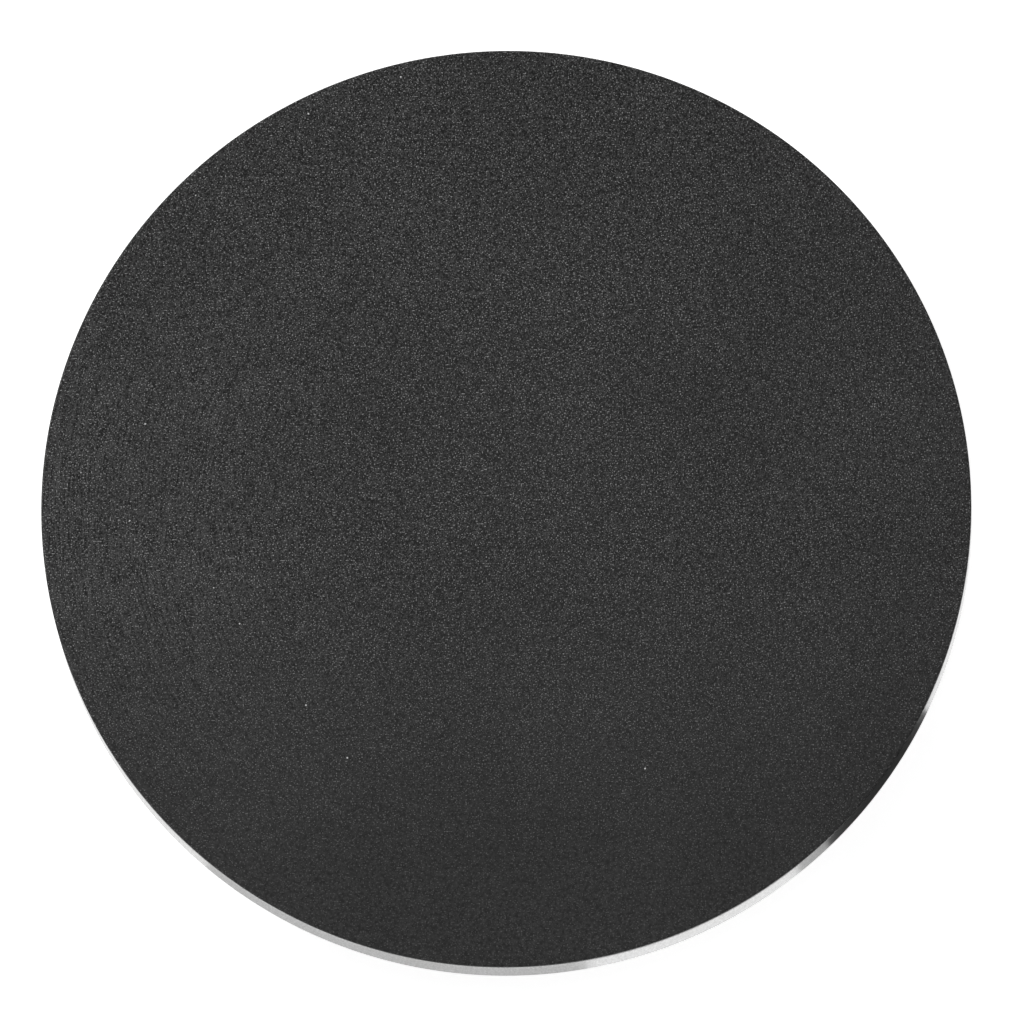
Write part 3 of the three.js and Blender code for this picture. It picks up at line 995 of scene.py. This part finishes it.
def washer_shape():
    """A split spring washer: a square section swept most of the way round, with a slanted gap."""
    outer = (WASHER_HIGH.x - WASHER_LOW.x) / 2
    inner = WASHER_HOLE_RADIUS
    bottom, top = WASHER_LOW.z, WASHER_HIGH.z
    edge = 0.15 * MM
    section = rounded(
        [(inner, bottom, edge), (outer, bottom, edge), (outer, top, edge), (inner, top, edge)],
        closed=True,
    )
    size = len(section)
    steps = SMALL_STEPS
    slant = 0.6 * WASHER_SPLIT
    points = []
    for step in range(steps + 1):
        share = step / steps
        for radius, height in section:
            lean = slant * (2 * (height - bottom) / (top - bottom) - 1)
            angle = WASHER_SPLIT + share * (2 * math.pi - 2 * WASHER_SPLIT) + lean * abs(2 * share - 1)
            points.append((radius * math.cos(angle), radius * math.sin(angle), height))
    faces = [tuple(range(size))]
    for step in range(steps):
        for index in range(size):
            beside = (index + 1) % size
            low, high = step * size, (step + 1) * size
            faces.append((low + index, high + index, high + beside, low + beside))
    faces.append(tuple(reversed(range(steps * size, (steps + 1) * size))))
    return np.array(points), faces


def add_washers(material):
    """The six lock washers."""
    washer = washer_shape()
    for number, angle in enumerate(equal_angles(SCREW_COUNT), 1):
        obj = new_object(f"spring_washer_{number}", round_the_axis(washer, (angle,), SCREW_CIRCLE))
        piece(obj, material, "backing", "washer_steel", f"lock_washer_{number}")


# ---- the stage ----

def add_camera():
    """A long lens almost square on to the face."""
    target = Vector((0, 0, FACE_HIGH.z))
    back = Vector(
        (
            math.sin(CAMERA_TILT) * math.cos(CAMERA_BEARING),
            math.sin(CAMERA_TILT) * math.sin(CAMERA_BEARING),
            math.cos(CAMERA_TILT),
        )
    )
    right = Vector((0, 1, 0)).cross(back).normalized()
    up = back.cross(right)
    data = bpy.data.cameras.new("camera")
    data.lens = CAMERA_LENS_MM
    data.sensor_width = CAMERA_SENSOR_MM
    data.clip_start = CAMERA_NEAREST
    data.clip_end = CAMERA_FARTHEST
    camera = bpy.data.objects.new("camera", data)
    turn = Matrix((right, up, back)).transposed()
    camera.matrix_world = Matrix.Translation(
        target + back * CAMERA_DISTANCE + right * AIM_RIGHT + up * AIM_UP
    ) @ turn.to_4x4()
    bpy.context.scene.collection.objects.link(camera)
    bpy.context.scene.camera = camera


def add_floor():
    """A plain pale floor that the hub stands on. It glows evenly, and much less under the disc, as a
    painted shadow.
    """
    paint = Paint("floor")
    mottle = paint.noise(0.01, 3.0)
    paint.set(Base_Color=paint.blend(mottle, grey(0.84), grey(0.88)), Roughness=0.7)
    # Less glow under the disc: a painted shadow.
    share = paint.between(paint.radius(), PAINTED_SHADOW_RADIUS_MM, GLOWING_RADIUS_MM, PAINTED_SHADOW_GLOW, 1.0)
    glow = paint.maths("MULTIPLY", share, FLOOR_GLOW)
    paint.set(Emission_Color=grey(1.0), Emission_Strength=glow)
    points = np.array([(x, y, CAD_BOX[0].z) for x, y in polygon(96, FLOOR_RADIUS)])
    floor = new_object("floor", (points, [tuple(range(len(points)))]))
    floor.data.materials.append(paint.material)


def add_light(name, place, size, power):
    """A square soft light that faces the frame's origin, and that the camera doesn't see."""
    data = bpy.data.lights.new(name, "AREA")
    data.size = size
    data.energy = power
    light = bpy.data.objects.new(name, data)
    light.location = place
    light.rotation_mode = "QUATERNION"
    light.rotation_quaternion = (-Vector(place)).to_track_quat("-Z", "Y")
    light.visible_camera = False
    bpy.context.scene.collection.objects.link(light)


def add_card(name, first, last, glow, height):
    """An arc of card on the floor, close round the disc, which only shows as a painted reflection: of lit
    table if it glows, of the disc's shadow if dark.

    It lies between two bearings in degrees, glow is its brightness and its outer edge is raised."""
    paint = Paint(name)
    paint.set(Base_Color=grey(0.0), Roughness=1.0, Specular_IOR_Level=0.0)
    paint.set(Emission_Color=grey(1.0), Emission_Strength=glow)
    inner = DISC_RADIUS + 0.2 * MM
    floor = CAD_BOX[0].z + 0.1 * MM
    points = []
    for angle in np.radians(np.linspace(first, last, SMALL_STEPS + 1)):
        for radius, rise in ((inner, 0), (CARD_RADIUS, 0), (CARD_RADIUS, height)):
            points.append((radius * math.cos(angle), radius * math.sin(angle), floor + rise))
    faces = []
    for step in range(SMALL_STEPS):
        for low in (3 * step, 3 * step + 1):
            faces.append((low, low + 1, low + 4, low + 3))
    card = new_object(name, (np.array(points), faces))
    card.data.materials.append(paint.material)
    card.visible_camera = False
    card.visible_diffuse = False
    card.visible_shadow = False


def add_world(strength):
    """Even pale light from all round."""
    world = bpy.data.worlds.new("world")
    world.use_nodes = True
    background = world.node_tree.nodes["Background"]
    background.inputs["Color"].default_value = (1, 1, 1, 1)
    background.inputs["Strength"].default_value = strength
    bpy.context.scene.world = world


def add_stage():
    """Camera, floor, lights and the cards that the plate's wall reflects."""
    add_camera()
    add_floor()
    add_world(WORLD_STRENGTH)
    add_light("key", KEY_PLACE, KEY_SIZE, KEY_POWER)
    add_light("glow", GLOW_PLACE, GLOW_SIZE, GLOW_POWER)
    for name, first, last, glow, height in CARDS:
        add_card(name, first, last, glow, height)
    bpy.context.scene.view_settings.view_transform = "Standard"


# ---- everything, in order ----

face = face_material()
aluminium = aluminium_material()
glue = glue_material()
loops = fibre_material("loop_fabric", 0.008, 0.03, 0.15)
hooks = fibre_material("hook_sheet", 0.012, 0.035, 0.4)
hub_steel = steel_material("hub_steel", (0.30, 0.30, 0.31, 1), (0.45, 0.45, 0.44, 1), 0.12)
washer_steel = steel_material("washer_steel", (0.36, 0.35, 0.33, 1), (0.52, 0.51, 0.49, 1), 0.2)
rubber = moulded_material("gasket_rubber", grey(0.010), grey(0.020), 0.6, 0.85)
plastic = moulded_material("cap_plastic", (0.055, 0.057, 0.064, 1), (0.080, 0.082, 0.090, 1), 0.4, 0.6)

add_stage()
add_face(face)
add_glue("face_glue", "face_glue_film", "pad", glue)
add_foam(foam_material())
add_glue("loop_glue", "loop_glue_film", "pad", glue)
add_loops(loops)
add_hooks(hooks)
add_glue("hook_glue", "hook_glue_film", "backing", glue)
add_plate(aluminium)
add_cap(plastic)
add_gasket(rubber)
add_hub(hub_steel)
add_screws(screw_material())
add_washers(washer_steel)
